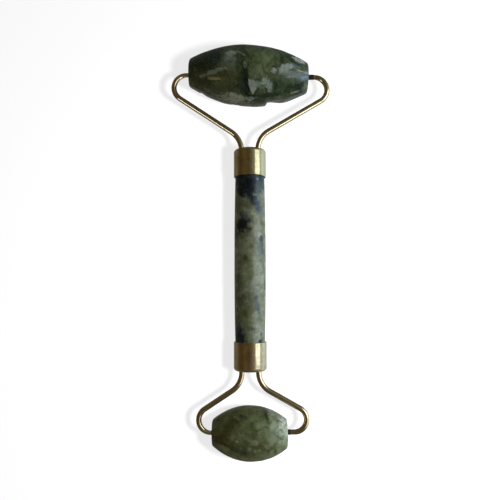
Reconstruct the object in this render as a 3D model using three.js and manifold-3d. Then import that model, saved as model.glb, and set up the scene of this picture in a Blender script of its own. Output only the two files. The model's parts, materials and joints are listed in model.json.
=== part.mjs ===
// A jade face roller: a stone handle with a brass cap at each end, a bent wire
// fork held in each cap, and a barrel-shaped stone roller turning on each fork.
// Millimetres, +Z up. The handle lies along Y, with the large roller at +Y.
// Both rollers rest on z = 0, and the origin is below the middle of the length.

import * as THREE from 'three';
import { mergeVertices } from 'three/addons/utils/BufferGeometryUtils.js';
import Module from 'manifold-3d';

const wasm = await Module();
wasm.setup();

// Stone handle, a slim barrel whose ends are hidden in the caps.
const HANDLE_MIDDLE_RADIUS = 5.49;
const HANDLE_END_RADIUS = 5.14;
const HANDLE_INSERT = 3.6;
const HANDLE_CHAMFER = 0.4;

// Drawn brass cap: a cup with two holes for the wire in its closed end.
const CAP_RADIUS = 5.65;
const CAP_WALL = 0.4;
const CAP_LENGTH = 9.8;
const CAP_CORNER = 1.0;
const CAP_HOLE_RADIUS = 1.12;
const CAP_DRILL_LENGTH = 4;

// Fork wire, with thinner tips that carry plastic sleeves.
const WIRE_RADIUS = 0.95;
const TIP_RADIUS = 0.66;
const TIP_DEPTH = 9;
const U_BEND_RADIUS = 2.8;
const U_BEND_DEPTH = 4.2;

// Plastic sleeve on each wire tip, the bearing of the roller.
const SLEEVE_RADIUS = 0.9;
const SLEEVE_BORE_RADIUS = 0.72;
const SLEEVE_GAP = 0.05;

// Epoxy that fills each cap around the wire's U bend.
const PLUG_RADIUS = 5.0;
const PLUG_GAP = 0.1;
const PLUG_CHANNEL_RADIUS = 1.2;

// Stone rollers.
const ROLLER_BORE_RADIUS = 1.15;
const ROLLER_EDGE_ROUND = 0.9;
const BELLY_HALF_WIDTH = 3;

// Facets around each round piece, and steps along what is curved.
const ROLLER_SIDES = 48;
const CAP_SIDES = 32;
const TUBE_SIDES = 10;
const WIRE_STEPS = 90;
const ROLLER_ARC_STEPS = 5;
const CORNER_STEPS = 3;
const HANDLE_STEPS = 10;

// The two ends. Lengths along Y are distances from the origin towards that end.
// An arm starts where its line crosses the leg's, beyond the cap's closed end.
// The wire is bent by hand, so its left and right halves differ a little.
const LARGE_END = {
  name: 'large',
  direction: 1,
  capMouth: 24.8,
  axle: 61.8,
  axleTilt: THREE.MathUtils.degToRad(-1.1),
  legHalfGap: 2.9,
  left: { side: -1, armAngle: 33.6, armStart: 4.3, legBend: 8.5, endBend: 4.7, sleeveEnd: 22.0 },
  right: { side: 1, armAngle: 30.4, armStart: 4.8, legBend: 7.8, endBend: 4.7, sleeveEnd: 22.95 },
  roller: { radius: 10.62, halfLength: 21.2, profileRadius: 44, centre: -0.4, color: 0x3c4a38 },
};
const SMALL_END = {
  name: 'small',
  direction: -1,
  capMouth: 32.65,
  axle: 63.25,
  axleTilt: THREE.MathUtils.degToRad(0.4),
  legHalfGap: 2.9,
  left: { side: -1, armAngle: 33.0, armStart: 4.7, legBend: 7.5, endBend: 4.3, sleeveEnd: 13.3 },
  right: { side: 1, armAngle: 29.1, armStart: 4.95, legBend: 7.5, endBend: 4.2, sleeveEnd: 13.6 },
  roller: { radius: 9.15, halfLength: 12.75, profileRadius: 19.5, centre: -0.24, color: 0x7c8a70 },
};
const ENDS = [LARGE_END, SMALL_END];

// The rollers differ in radius, so the handle and forks slope down to the small one.
const AXLE_DISTANCE = LARGE_END.axle + SMALL_END.axle;
const SLOPE = Math.asin((LARGE_END.roller.radius - SMALL_END.roller.radius) / AXLE_DISTANCE);
const AXIS_HEIGHT = SMALL_END.roller.radius + SMALL_END.axle * Math.sin(SLOPE);

function material(color, roughness, metalness) {
  return new THREE.MeshStandardMaterial({ color, roughness, metalness });
}

const BRASS = material(0xa88a55, 0.35, 1);
const WIRE_BRASS = material(0x8f7440, 0.25, 1);
const SLEEVE_PLASTIC = material(0x2a2928, 0.5, 0);
const EPOXY = material(0xd9d3bf, 0.4, 0);
const HANDLE_STONE = material(0x66705a, 0.3, 0);

function namedMesh(name, geometry, meshMaterial) {
  const mesh = new THREE.Mesh(geometry, meshMaterial);
  mesh.name = name;
  return mesh;
}

// Booleans need one shared vertex at each corner and no collapsed triangles.
function toSolid(geometry) {
  const bare = geometry.clone();
  bare.deleteAttribute('normal');
  bare.deleteAttribute('uv');
  const merged = mergeVertices(bare);
  const corners = merged.index.array;
  const kept = [];
  for (let i = 0; i < corners.length; i += 3) {
    const [a, b, c] = corners.slice(i, i + 3);
    if (a !== b && b !== c && c !== a) {
      kept.push(a, b, c);
    }
  }
  return new wasm.Manifold(new wasm.Mesh({
    numProp: 3,
    vertProperties: merged.attributes.position.array,
    triVerts: new Uint32Array(kept),
  }));
}

function toGeometry(solid) {
  const mesh = solid.getMesh();
  const geometry = new THREE.BufferGeometry();
  geometry.setAttribute('position', new THREE.BufferAttribute(mesh.vertProperties, 3));
  geometry.setIndex(new THREE.BufferAttribute(mesh.triVerts, 1));
  geometry.computeVertexNormals();
  return geometry;
}

// A quarter turn of profile points from angle to angle + 90 degrees.
function cornerPoints(centreX, centreY, radius, startAngle) {
  const points = [];
  for (let i = 0; i <= CORNER_STEPS; i += 1) {
    const angle = startAngle + (i / CORNER_STEPS) * (Math.PI / 2);
    points.push(new THREE.Vector2(centreX + radius * Math.cos(angle), centreY + radius * Math.sin(angle)));
  }
  return points;
}

function handleRadius(fromMiddle, halfVisible) {
  const along = fromMiddle / halfVisible;
  return HANDLE_MIDDLE_RADIUS - (HANDLE_MIDDLE_RADIUS - HANDLE_END_RADIUS) * along * along;
}

function makeHandle() {
  const low = -SMALL_END.capMouth;
  const high = LARGE_END.capMouth;
  const middle = (low + high) / 2;
  const half = (high - low) / 2;
  const spigot = HANDLE_END_RADIUS;
  const profile = [
    new THREE.Vector2(0, low - HANDLE_INSERT),
    new THREE.Vector2(spigot - HANDLE_CHAMFER, low - HANDLE_INSERT),
    new THREE.Vector2(spigot, low - HANDLE_INSERT + HANDLE_CHAMFER),
  ];
  for (let i = 0; i <= HANDLE_STEPS; i += 1) {
    const y = low + (i / HANDLE_STEPS) * (high - low);
    profile.push(new THREE.Vector2(handleRadius(y - middle, half), y));
  }
  profile.push(new THREE.Vector2(spigot, high + HANDLE_INSERT - HANDLE_CHAMFER));
  profile.push(new THREE.Vector2(spigot - HANDLE_CHAMFER, high + HANDLE_INSERT));
  profile.push(new THREE.Vector2(0, high + HANDLE_INSERT));
  return namedMesh('handle', new THREE.LatheGeometry(profile, CAP_SIDES), HANDLE_STONE);
}

// The cup's mouth is at y = 0 and its closed end at y = CAP_LENGTH.
function makeCap(end) {
  const inner = CAP_RADIUS - CAP_WALL;
  const profile = [
    new THREE.Vector2(0, CAP_LENGTH - CAP_WALL),
    new THREE.Vector2(inner, CAP_LENGTH - CAP_WALL),
    new THREE.Vector2(inner, 0),
    new THREE.Vector2(CAP_RADIUS, 0),
    ...cornerPoints(CAP_RADIUS - CAP_CORNER, CAP_LENGTH - CAP_CORNER, CAP_CORNER, 0),
    new THREE.Vector2(0, CAP_LENGTH),
  ];
  let cup = toSolid(new THREE.LatheGeometry(profile, CAP_SIDES));
  for (const side of [-1, 1]) {
    const drill = new THREE.CylinderGeometry(CAP_HOLE_RADIUS, CAP_HOLE_RADIUS, CAP_DRILL_LENGTH, TUBE_SIDES);
    drill.translate(side * end.legHalfGap, CAP_LENGTH, 0);
    cup = cup.subtract(toSolid(drill));
  }
  const mesh = namedMesh(`${end.name}_end_cap`, toGeometry(cup), BRASS);
  mesh.position.y = end.direction * end.capMouth;
  mesh.rotation.z = end.direction > 0 ? 0 : Math.PI;
  return mesh;
}

// Where the line through a towards directionA meets the line through b towards directionB.
function meetingPoint(a, directionA, b, directionB) {
  const along = b.clone().sub(a).cross(directionB) / directionA.cross(directionB);
  return a.clone().addScaledVector(directionA, along);
}

function axleDirection(end) {
  return new THREE.Vector2(Math.cos(end.axleTilt), Math.sin(end.axleTilt));
}

function pointOnAxle(end, x) {
  return new THREE.Vector2(x, end.direction * end.axle + x * Math.tan(end.axleTilt));
}

// One half of a fork from the axle tip to the U bend inside the cap.
function forkCorners(end, half) {
  const legX = half.side * end.legHalfGap;
  const capEnd = end.capMouth + CAP_LENGTH;
  const angle = THREE.MathUtils.degToRad(half.armAngle);
  const arm = new THREE.Vector2(half.side * Math.cos(angle), end.direction * Math.sin(angle));
  const elbow = new THREE.Vector2(legX, end.direction * (capEnd + half.armStart));
  const axleTip = pointOnAxle(end, half.side * half.sleeveEnd);
  const outer = meetingPoint(elbow, arm, axleTip, axleDirection(end));
  const bottom = new THREE.Vector2(legX, end.direction * (capEnd - U_BEND_DEPTH));
  return [
    { point: axleTip, radius: 0 },
    { point: outer, radius: half.endBend },
    { point: elbow, radius: half.legBend },
    { point: bottom, radius: U_BEND_RADIUS },
  ];
}

function addBend(path, before, corner, after) {
  const back = before.clone().sub(corner.point).normalize();
  const onward = after.clone().sub(corner.point).normalize();
  const halfAngle = Math.acos(back.dot(onward)) / 2;
  const toTangent = corner.radius / Math.tan(halfAngle);
  const start = corner.point.clone().addScaledVector(back, toTangent);
  const finish = corner.point.clone().addScaledVector(onward, toTangent);
  const toCentre = back.clone().add(onward).setLength(corner.radius / Math.sin(halfAngle));
  const centre = corner.point.clone().add(toCentre);
  const startAngle = start.sub(centre).angle();
  const finishAngle = finish.sub(centre).angle();
  path.absarc(centre.x, centre.y, corner.radius, startAngle, finishAngle, back.cross(onward) > 0);
}

function roundedPath(corners) {
  const path = new THREE.Path();
  const last = corners.length - 1;
  path.moveTo(corners[0].point.x, corners[0].point.y);
  // absarc draws the straight stretch to its own start.
  for (let i = 1; i < last; i += 1) {
    addBend(path, corners[i - 1].point, corners[i], corners[i + 1].point);
  }
  path.lineTo(corners[last].point.x, corners[last].point.y);
  return path;
}

// A flat path in the XY plane as a space curve.
class FlatCurve extends THREE.Curve {
  constructor(path) {
    super();
    this.path = path;
  }

  getPoint(t, target = new THREE.Vector3()) {
    const point = this.path.getPoint(t);
    return target.set(point.x, point.y, 0);
  }
}

function forkCurve(end) {
  const left = forkCorners(end, end.left);
  const right = forkCorners(end, end.right).reverse();
  return new FlatCurve(roundedPath([...left, ...right]));
}

function tubeAlong(curve, radius, steps) {
  const section = new THREE.Shape();
  section.absarc(0, 0, radius, 0, 2 * Math.PI);
  const settings = { steps, curveSegments: TUBE_SIDES / 2, extrudePath: curve };
  return new THREE.ExtrudeGeometry(section, settings);
}

// A straight cylinder or tube along the axle between two x positions.
function placeOnAxle(geometry, end, x) {
  const at = pointOnAxle(end, x);
  geometry.rotateZ(-Math.PI / 2 + end.axleTilt);
  geometry.translate(at.x, at.y, 0);
  return geometry;
}

function tipInnerEnd(end, half) {
  return half.side * (end.roller.halfLength - TIP_DEPTH);
}

function makeFork(end) {
  let wire = toSolid(tubeAlong(forkCurve(end), WIRE_RADIUS, WIRE_STEPS));
  for (const half of [end.left, end.right]) {
    const inner = tipInnerEnd(end, half);
    const outer = half.side * (half.sleeveEnd + WIRE_RADIUS / 2);
    const length = Math.abs(outer - inner);
    const tip = new THREE.CylinderGeometry(TIP_RADIUS, TIP_RADIUS, length, TUBE_SIDES);
    wire = wire.add(toSolid(placeOnAxle(tip, end, (inner + outer) / 2)));
  }
  return namedMesh(`${end.name}_fork`, toGeometry(wire), WIRE_BRASS);
}

function makeSleeve(end, half, sideName) {
  const inner = tipInnerEnd(end, half);
  const outer = half.side * (half.sleeveEnd - SLEEVE_GAP);
  const halfLength = Math.abs(outer - inner) / 2;
  const profile = [
    new THREE.Vector2(SLEEVE_BORE_RADIUS, -halfLength),
    new THREE.Vector2(SLEEVE_RADIUS, -halfLength),
    new THREE.Vector2(SLEEVE_RADIUS, halfLength),
    new THREE.Vector2(SLEEVE_BORE_RADIUS, halfLength),
    new THREE.Vector2(SLEEVE_BORE_RADIUS, -halfLength),
  ];
  const tube = new THREE.LatheGeometry(profile, TUBE_SIDES);
  placeOnAxle(tube, end, (inner + outer) / 2);
  return namedMesh(`${end.name}_${sideName}_sleeve`, tube, SLEEVE_PLASTIC);
}

// The epoxy runs from the handle's end to the cap's closed end.
function makeAdhesive(end) {
  const low = end.capMouth + HANDLE_INSERT + PLUG_GAP;
  const high = end.capMouth + CAP_LENGTH - CAP_WALL - PLUG_GAP;
  const block = new THREE.CylinderGeometry(PLUG_RADIUS, PLUG_RADIUS, high - low, CAP_SIDES);
  block.translate(0, end.direction * (low + high) / 2, 0);
  const channel = tubeAlong(forkCurve(end), PLUG_CHANNEL_RADIUS, WIRE_STEPS);
  const plug = toSolid(block).subtract(toSolid(channel));
  return namedMesh(`${end.name}_cap_adhesive`, toGeometry(plug), EPOXY);
}

// Half of the barrel's outline, from the belly band out to the end face.
function barrelHalf(roller, vertexRadius) {
  const points = [];
  const arcEnd = roller.halfLength - ROLLER_EDGE_ROUND;
  const bellyDrop = roller.profileRadius - Math.sqrt(roller.profileRadius ** 2 - BELLY_HALF_WIDTH ** 2);
  for (let i = 0; i <= ROLLER_ARC_STEPS; i += 1) {
    const x = BELLY_HALF_WIDTH + (i / ROLLER_ARC_STEPS) * (arcEnd - BELLY_HALF_WIDTH);
    const drop = roller.profileRadius - Math.sqrt(roller.profileRadius ** 2 - x * x);
    points.push(new THREE.Vector2(vertexRadius - drop + bellyDrop, x));
  }
  const shoulder = points[points.length - 1].x;
  const edge = cornerPoints(shoulder - ROLLER_EDGE_ROUND, arcEnd, ROLLER_EDGE_ROUND, 0);
  points.push(...edge.slice(1));
  return points;
}

// A facet faces straight down, so the roller stands on a flat and not on an edge.
function makeRoller(end) {
  const roller = end.roller;
  const facet = Math.PI / ROLLER_SIDES;
  const half = barrelHalf(roller, roller.radius / Math.cos(facet));
  const mirrored = half.map((point) => new THREE.Vector2(point.x, -point.y)).reverse();
  const profile = [
    new THREE.Vector2(ROLLER_BORE_RADIUS, -roller.halfLength),
    ...mirrored,
    ...half,
    new THREE.Vector2(ROLLER_BORE_RADIUS, roller.halfLength),
    new THREE.Vector2(ROLLER_BORE_RADIUS, -roller.halfLength),
  ];
  const barrel = new THREE.LatheGeometry(profile, ROLLER_SIDES, facet);
  const stone = material(roller.color, 0.2, 0);
  const mesh = namedMesh(`${end.name}_roller_stone`, barrel, stone);
  const at = pointOnAxle(end, roller.centre);
  mesh.position.set(at.x, at.y * Math.cos(SLOPE), roller.radius);
  mesh.rotation.z = -Math.PI / 2 + end.axleTilt;
  return mesh;
}

// The handle, caps and forks are one rigid assembly, sloped between the rollers.
function makeHandleAssembly() {
  const assembly = new THREE.Group();
  assembly.add(makeHandle());
  for (const end of ENDS) {
    assembly.add(makeCap(end));
    assembly.add(makeFork(end));
    assembly.add(makeSleeve(end, end.left, 'left'));
    assembly.add(makeSleeve(end, end.right, 'right'));
    assembly.add(makeAdhesive(end));
  }
  assembly.rotation.x = SLOPE;
  assembly.position.z = AXIS_HEIGHT;
  return assembly;
}

const group = new THREE.Group();
group.add(makeHandleAssembly());
for (const end of ENDS) {
  group.add(makeRoller(end));
}

export default group;
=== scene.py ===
"""The looks of a jade face roller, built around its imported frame.

Metres and +Z up, as in the frame. Shapes are worked out in millimetres and
scaled once, when a mesh is made. The handle, caps and forks share one rigid
assembly space: its y axis is the handle's axis and its z = 0 plane holds the
fork wires. A roller's own space has x along its axle and z up.
"""

import json
import math

import bmesh
import bpy
from mathutils import Matrix, Vector, noise


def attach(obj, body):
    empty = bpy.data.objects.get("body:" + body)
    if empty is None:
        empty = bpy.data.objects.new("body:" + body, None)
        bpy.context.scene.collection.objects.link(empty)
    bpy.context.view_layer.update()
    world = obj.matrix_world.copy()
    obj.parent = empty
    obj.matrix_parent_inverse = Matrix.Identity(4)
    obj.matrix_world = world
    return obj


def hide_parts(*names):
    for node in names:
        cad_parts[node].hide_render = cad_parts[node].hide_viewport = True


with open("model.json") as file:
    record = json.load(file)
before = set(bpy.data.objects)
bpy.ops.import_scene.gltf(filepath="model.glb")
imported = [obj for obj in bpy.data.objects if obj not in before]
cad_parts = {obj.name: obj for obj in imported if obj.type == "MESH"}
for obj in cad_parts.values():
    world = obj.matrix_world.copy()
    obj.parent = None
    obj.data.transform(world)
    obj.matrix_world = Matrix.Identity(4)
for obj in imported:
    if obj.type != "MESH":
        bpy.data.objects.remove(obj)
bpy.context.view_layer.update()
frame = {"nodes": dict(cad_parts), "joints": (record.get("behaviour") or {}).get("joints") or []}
scene = bpy.context.scene

MM = 0.001
TO_MILLIMETRES = Matrix.Scale(1 / MM, 4)
AXLES = {joint["child"]: Vector(joint["pos_m"]) for joint in frame["joints"]}
LARGE_AXLE, SMALL_AXLE = AXLES["large_roller"], AXLES["small_roller"]
SLOPE = math.atan2(LARGE_AXLE.z - SMALL_AXLE.z, LARGE_AXLE.y - SMALL_AXLE.y)
AXIS_HEIGHT = SMALL_AXLE.z - SMALL_AXLE.y * math.tan(SLOPE)
ASSEMBLY = Matrix.Translation((0, 0, AXIS_HEIGHT)) @ Matrix.Rotation(SLOPE, 4, "X")

# Handle and caps, in millimetres.
HANDLE_MIDDLE_RADIUS = 5.49
HANDLE_END_RADIUS = 5.14
HANDLE_INSERT = 3.6
HANDLE_CHAMFER = 0.4
CAP_RADIUS = 5.65
CAP_WALL = 0.4
CAP_LENGTH = 9.8
CAP_CORNER = 1.0
CAP_INNER_CORNER = 0.6
CAP_LIP = 0.16
CAP_HOLE_RADIUS = 1.12
DRILL_REACH = 2

# Fork wire and sleeves, in millimetres.
WIRE_RADIUS = 0.95
TIP_RADIUS = 0.66
TIP_DEPTH = 9
TIP_BEVEL = 0.12
U_BEND_RADIUS = 2.8
U_BEND_DEPTH = 4.2
STRAIGHT_STEP = 0.8
SLEEVE_RADIUS = 0.9
SLEEVE_BORE_RADIUS = 0.72
SLEEVE_RIM = 0.06
ROLLER_BORE_RADIUS = 1.15
ROLLER_BORE_BEVEL = 0.25

# Sides of each round piece, and rows along what is curved.
BODY_SIDES = 128
HOLE_SIDES = 40
WIRE_SIDES = 28
SLEEVE_SIDES = 36
ROLLER_SIDES = 224
HANDLE_ROWS = 180
CAP_ROWS = 24
ROLLER_FACE_ROWS = 6

# Each end of the roller, lengths along the handle's axis from the middle.
LARGE_END = {
    "name": "large", "direction": 1, "cap_mouth": 24.8, "axle": 61.8, "axle_tilt": math.radians(-1.1),
    "leg_half_gap": 2.9, "half_length": 21.2,
    "left": {"side": -1, "angle": 33.6, "start": 4.3, "leg_bend": 8.5, "end_bend": 4.7, "sleeve": 22.0,
             "neck": 0.74},
    "right": {"side": 1, "angle": 30.4, "start": 4.8, "leg_bend": 7.8, "end_bend": 4.7, "sleeve": 22.95,
              "neck": 0.84},
}
SMALL_END = {
    "name": "small", "direction": -1, "cap_mouth": 32.65, "axle": 63.25, "axle_tilt": math.radians(0.4),
    "leg_half_gap": 2.9, "half_length": 12.75,
    "left": {"side": -1, "angle": 33.0, "start": 4.7, "leg_bend": 7.5, "end_bend": 4.3, "sleeve": 13.3,
             "neck": 0.72},
    "right": {"side": 1, "angle": 29.1, "start": 4.95, "leg_bend": 7.5, "end_bend": 4.2, "sleeve": 13.6,
              "neck": 0.84},
}


# -------- meshes


def add_to_scene(name, data):
    made = bpy.data.objects.new(name, data)
    scene.collection.objects.link(made)
    return made


def shade(mesh, sharp_angle):
    mesh.shade_smooth()
    mesh.set_sharp_from_angle(angle=math.radians(sharp_angle))


def make_object(name, vertices, faces, place, sharp_angle=40):
    """A smooth-shaded mesh object from millimetre points, put in place in metres."""
    mesh = bpy.data.meshes.new(name)
    mesh.from_pydata([place @ (Vector(point) * MM) for point in vertices], [], faces)
    mesh.validate()
    shape = bmesh.new()
    shape.from_mesh(mesh)
    bmesh.ops.recalc_face_normals(shape, faces=shape.faces)
    shape.to_mesh(mesh)
    shape.free()
    shade(mesh, sharp_angle)
    return add_to_scene(name, mesh)


def ring_faces(rings, sides, closed):
    """Quads between neighbouring rings of vertices, the last joined to the first if closed."""
    faces = []
    count = rings if closed else rings - 1
    for ring in range(count):
        start, following = ring * sides, ((ring + 1) % rings) * sides
        for side in range(sides):
            after = (side + 1) % sides
            faces.append((start + side, start + after, following + after, following + side))
    return faces


def lathe(name, profile, sides, place, closed=False, shift=None, sharp_angle=40):
    """Turns (radius, along) points about the y axis. shift(radius, along, angle) may move a point.

    An open profile is closed by a flat fan at each end; a closed one is a ring.
    """
    vertices = []
    for radius, along in profile:
        for side in range(sides):
            angle = 2 * math.pi * side / sides
            point = Vector((radius * math.cos(angle), along, radius * math.sin(angle)))
            if shift:
                point += shift(radius, along, angle)
            vertices.append(point)
    faces = ring_faces(len(profile), sides, closed)
    if not closed:
        faces.append(tuple(range(sides)))
        faces.append(tuple(range((len(profile) - 1) * sides, len(profile) * sides)))
    return make_object(name, vertices, faces, place, sharp_angle)


def spoke(angle):
    """The unit vector away from the y axis at an angle from +X towards +Z."""
    return Vector((math.cos(angle), 0, math.sin(angle)))


def smooth_step(value, low, high):
    share = min(1, max(0, (value - low) / (high - low)))
    return share * share * (3 - 2 * share)


def arc(centre, radius, start, finish, steps):
    """Points on an arc in a (radius, along) profile, angles in degrees."""
    points = []
    for step in range(steps + 1):
        angle = math.radians(start + (finish - start) * step / steps)
        points.append((centre[0] + radius * math.cos(angle), centre[1] + radius * math.sin(angle)))
    return points


# -------- handle and caps


def handle_radius(y, low, high):
    along = (2 * y - low - high) / (high - low)
    return HANDLE_MIDDLE_RADIUS - (HANDLE_MIDDLE_RADIUS - HANDLE_END_RADIUS) * along * along


def make_handle():
    """The stone rod: a slim barrel, ground by hand so it is never quite straight or round."""
    low, high = -SMALL_END["cap_mouth"], LARGE_END["cap_mouth"]
    swell, ripple, sink = 0.05, 0.015, 0.02
    profile = [
        (HANDLE_END_RADIUS - HANDLE_CHAMFER, low - HANDLE_INSERT),
        (HANDLE_END_RADIUS, low - HANDLE_INSERT + HANDLE_CHAMFER),
    ]
    for row in range(HANDLE_ROWS + 1):
        y = low + (high - low) * row / HANDLE_ROWS
        profile.append((handle_radius(y, low, high), y))
    profile += [
        (HANDLE_END_RADIUS, high + HANDLE_INSERT - HANDLE_CHAMFER),
        (HANDLE_END_RADIUS - HANDLE_CHAMFER, high + HANDLE_INSERT),
    ]

    def waver(radius, along, angle):
        if not low < along < high:
            return Vector((0, 0, 0))
        at = Vector((math.cos(angle) * 0.7, along * 0.07, math.sin(angle) * 0.7))
        wave = swell * noise.noise(at) + ripple * noise.noise(at * 4.1)
        return spoke(angle) * (wave - sink)

    return lathe("handle_stone", profile, BODY_SIDES, ASSEMBLY, shift=waver)


def cut_wire_holes(cup, end):
    """Two holes for the fork wire through the closed end of a cup, still in millimetres."""
    bit = [(CAP_HOLE_RADIUS, -DRILL_REACH), (CAP_HOLE_RADIUS, DRILL_REACH)]
    for side in (-1, 1):
        at = Matrix.Translation((side * end["leg_half_gap"], CAP_LENGTH, 0))
        drill = lathe("drill", bit, HOLE_SIDES, at @ TO_MILLIMETRES)
        cut = cup.modifiers.new("hole", "BOOLEAN")
        cut.operation = "DIFFERENCE"
        cut.solver = "EXACT"
        cut.object = drill
        bpy.context.view_layer.update()
        evaluated = cup.evaluated_get(bpy.context.evaluated_depsgraph_get())
        drilled = bpy.data.meshes.new_from_object(evaluated)
        cup.modifiers.clear()
        cup.data = drilled
        bpy.data.objects.remove(drill)


def make_cap(end):
    """A drawn brass cup with a rounded closed end and a softly broken lip at its mouth."""
    inner = CAP_RADIUS - CAP_WALL
    depth = CAP_LENGTH - CAP_WALL
    corner = (CAP_RADIUS - CAP_CORNER, CAP_LENGTH - CAP_CORNER)
    dent, sink = 0.02, 0.005
    profile = arc((inner - CAP_INNER_CORNER, depth - CAP_INNER_CORNER), CAP_INNER_CORNER, 90, 0, 6)
    profile += [(inner, CAP_LIP)]
    profile += arc((inner + CAP_LIP, CAP_LIP), CAP_LIP, 180, 270, 5)[1:]
    profile += arc((CAP_RADIUS - CAP_LIP, CAP_LIP), CAP_LIP, 270, 360, 6)
    for row in range(1, CAP_ROWS):
        profile.append((CAP_RADIUS, CAP_LIP + (corner[1] - CAP_LIP) * row / CAP_ROWS))
    profile += arc(corner, CAP_CORNER, 0, 90, 14)

    def dents(radius, along, angle):
        at = Vector((math.cos(angle) * 1.3, along * 0.16, math.sin(angle) * 1.3 + 9 * end["direction"]))
        return spoke(angle) * (dent * noise.noise(at) - sink)

    cup = lathe(f"{end['name']}_cap", profile, BODY_SIDES, TO_MILLIMETRES, shift=dents)
    cut_wire_holes(cup, end)
    turn = Matrix.Identity(4) if end["direction"] > 0 else Matrix.Rotation(math.pi, 4, "Z")
    mouth = Matrix.Translation((0, end["direction"] * end["cap_mouth"] * MM, 0))
    cup.data.transform(ASSEMBLY @ mouth @ turn @ Matrix.Scale(MM, 4))
    shade(cup.data, 40)
    return cup


# -------- forks and sleeves


def axle_point(end, x):
    return Vector((x, end["direction"] * end["axle"] + x * math.tan(end["axle_tilt"])))


def meeting_point(a, along_a, b, along_b):
    """Where the line through a meets the line through b."""
    distance = (b - a).cross(along_b) / along_a.cross(along_b)
    return a + along_a * distance


def half_fork(end, half):
    """(corner point, bend radius) from an axle tip to the U bend hidden in the cap."""
    leg_x = half["side"] * end["leg_half_gap"]
    cap_end = end["cap_mouth"] + CAP_LENGTH
    angle = math.radians(half["angle"])
    arm = Vector((half["side"] * math.cos(angle), end["direction"] * math.sin(angle)))
    elbow = Vector((leg_x, end["direction"] * (cap_end + half["start"])))
    tip = axle_point(end, half["side"] * half["sleeve"])
    axle = Vector((math.cos(end["axle_tilt"]), math.sin(end["axle_tilt"])))
    outer = meeting_point(elbow, arm, tip, axle)
    bottom = Vector((leg_x, end["direction"] * (cap_end - U_BEND_DEPTH)))
    return [(tip, 0), (outer, half["end_bend"]), (elbow, half["leg_bend"]), (bottom, U_BEND_RADIUS)]


def bend_points(before, corner, after, radius):
    """Points every few degrees round a bend of the wire."""
    back, onward = (before - corner).normalized(), (after - corner).normalized()
    half_angle = back.angle(onward) / 2
    centre = corner + (back + onward).normalized() * (radius / math.sin(half_angle))
    start = corner + back * (radius / math.tan(half_angle)) - centre
    turn = math.pi - 2 * half_angle
    way = 1 if back.cross(onward) < 0 else -1
    steps = max(4, round(turn / math.radians(4)))
    return [centre + start @ Matrix.Rotation(-way * turn * step / steps, 2) for step in range(steps + 1)]


def fork_centreline(end):
    corners = half_fork(end, end["left"]) + half_fork(end, end["right"])[::-1]
    line = [corners[0][0]]
    for before, corner, after in zip(corners, corners[1:], corners[2:]):
        line += bend_points(before[0], corner[0], after[0], corner[1])
    return line + [corners[-1][0]]


def with_straights_split(line, step):
    """The same line with long straight stretches cut into short ones."""
    points = [line[0]]
    for a, b in zip(line, line[1:]):
        cuts = max(1, round((b - a).length / step))
        points += [a.lerp(b, cut / cuts) for cut in range(1, cuts + 1)]
    return points


def wire_radius(end, half, point):
    """The wire is drawn thinner over the last few millimetres before its sleeve."""
    beyond = abs(point.x) - half["sleeve"]
    close = end["direction"] * point.y > end["axle"] - 3
    thinned = 1 - smooth_step(beyond, 0, half["end_bend"] + 0.5) if close else 0
    return WIRE_RADIUS - (WIRE_RADIUS - half["neck"]) * thinned


def fork_stations(end):
    """(point, radius) all along the wire, with a shoulder at each sleeve and a thinner tip inside it."""
    stations = []
    for point in with_straights_split(fork_centreline(end), STRAIGHT_STEP):
        half = end["left"] if point.x < 0 else end["right"]
        stations.append((point, wire_radius(end, half, point)))
    for half, at in ((end["left"], 0), (end["right"], len(stations))):
        shoulder = axle_point(end, half["side"] * half["sleeve"])
        inner = axle_point(end, half["side"] * (end["half_length"] - TIP_DEPTH))
        bevelled = (inner, TIP_RADIUS - TIP_BEVEL)
        tip = [bevelled, (inner.lerp(shoulder, 0.02), TIP_RADIUS), (shoulder, TIP_RADIUS)]
        stations[at:at] = tip if half["side"] < 0 else tip[::-1]
    return stations


def make_fork(end):
    """One bent wire, swept along its stations."""
    stations = fork_stations(end)
    last = len(stations) - 1
    vertices = []
    for index, (point, radius) in enumerate(stations):
        before, after = stations[max(index - 1, 0)][0], stations[min(index + 1, last)][0]
        along = (after - before).normalized()
        across = Vector((-along.y, along.x, 0))
        for side in range(WIRE_SIDES):
            angle = 2 * math.pi * side / WIRE_SIDES
            outward = across * math.cos(angle) + Vector((0, 0, 1)) * math.sin(angle)
            vertices.append(point.to_3d() + outward * radius)
    faces = ring_faces(len(stations), WIRE_SIDES, closed=False)
    faces += [tuple(range(WIRE_SIDES)), tuple(range(len(vertices) - WIRE_SIDES, len(vertices)))]
    return make_object(f"{end['name']}_wire", vertices, faces, ASSEMBLY, sharp_angle=50)


def make_sleeve(end, half, side_name):
    """A short plastic tube on a wire tip, its rims softly rounded."""
    inner = half["side"] * (end["half_length"] - TIP_DEPTH)
    outer = half["side"] * half["sleeve"]
    length = abs(outer - inner) / 2
    bore, rim = SLEEVE_BORE_RADIUS, SLEEVE_RIM
    profile = [(bore, -length + rim), (bore + rim, -length)]
    profile += arc((SLEEVE_RADIUS - rim, -length + rim), rim, 270, 360, 4)
    profile += arc((SLEEVE_RADIUS - rim, length - rim), rim, 0, 90, 4)
    profile += [(bore + rim, length), (bore, length - rim)]
    middle = axle_point(end, (inner + outer) / 2)
    turn = Matrix.Rotation(-math.pi / 2 + end["axle_tilt"], 4, "Z")
    place = ASSEMBLY @ Matrix.Translation(middle.to_3d() * MM) @ turn
    return lathe(f"{end['name']}_{side_name}_bush", profile, SLEEVE_SIDES, place, closed=True)


# -------- roller stones


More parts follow.
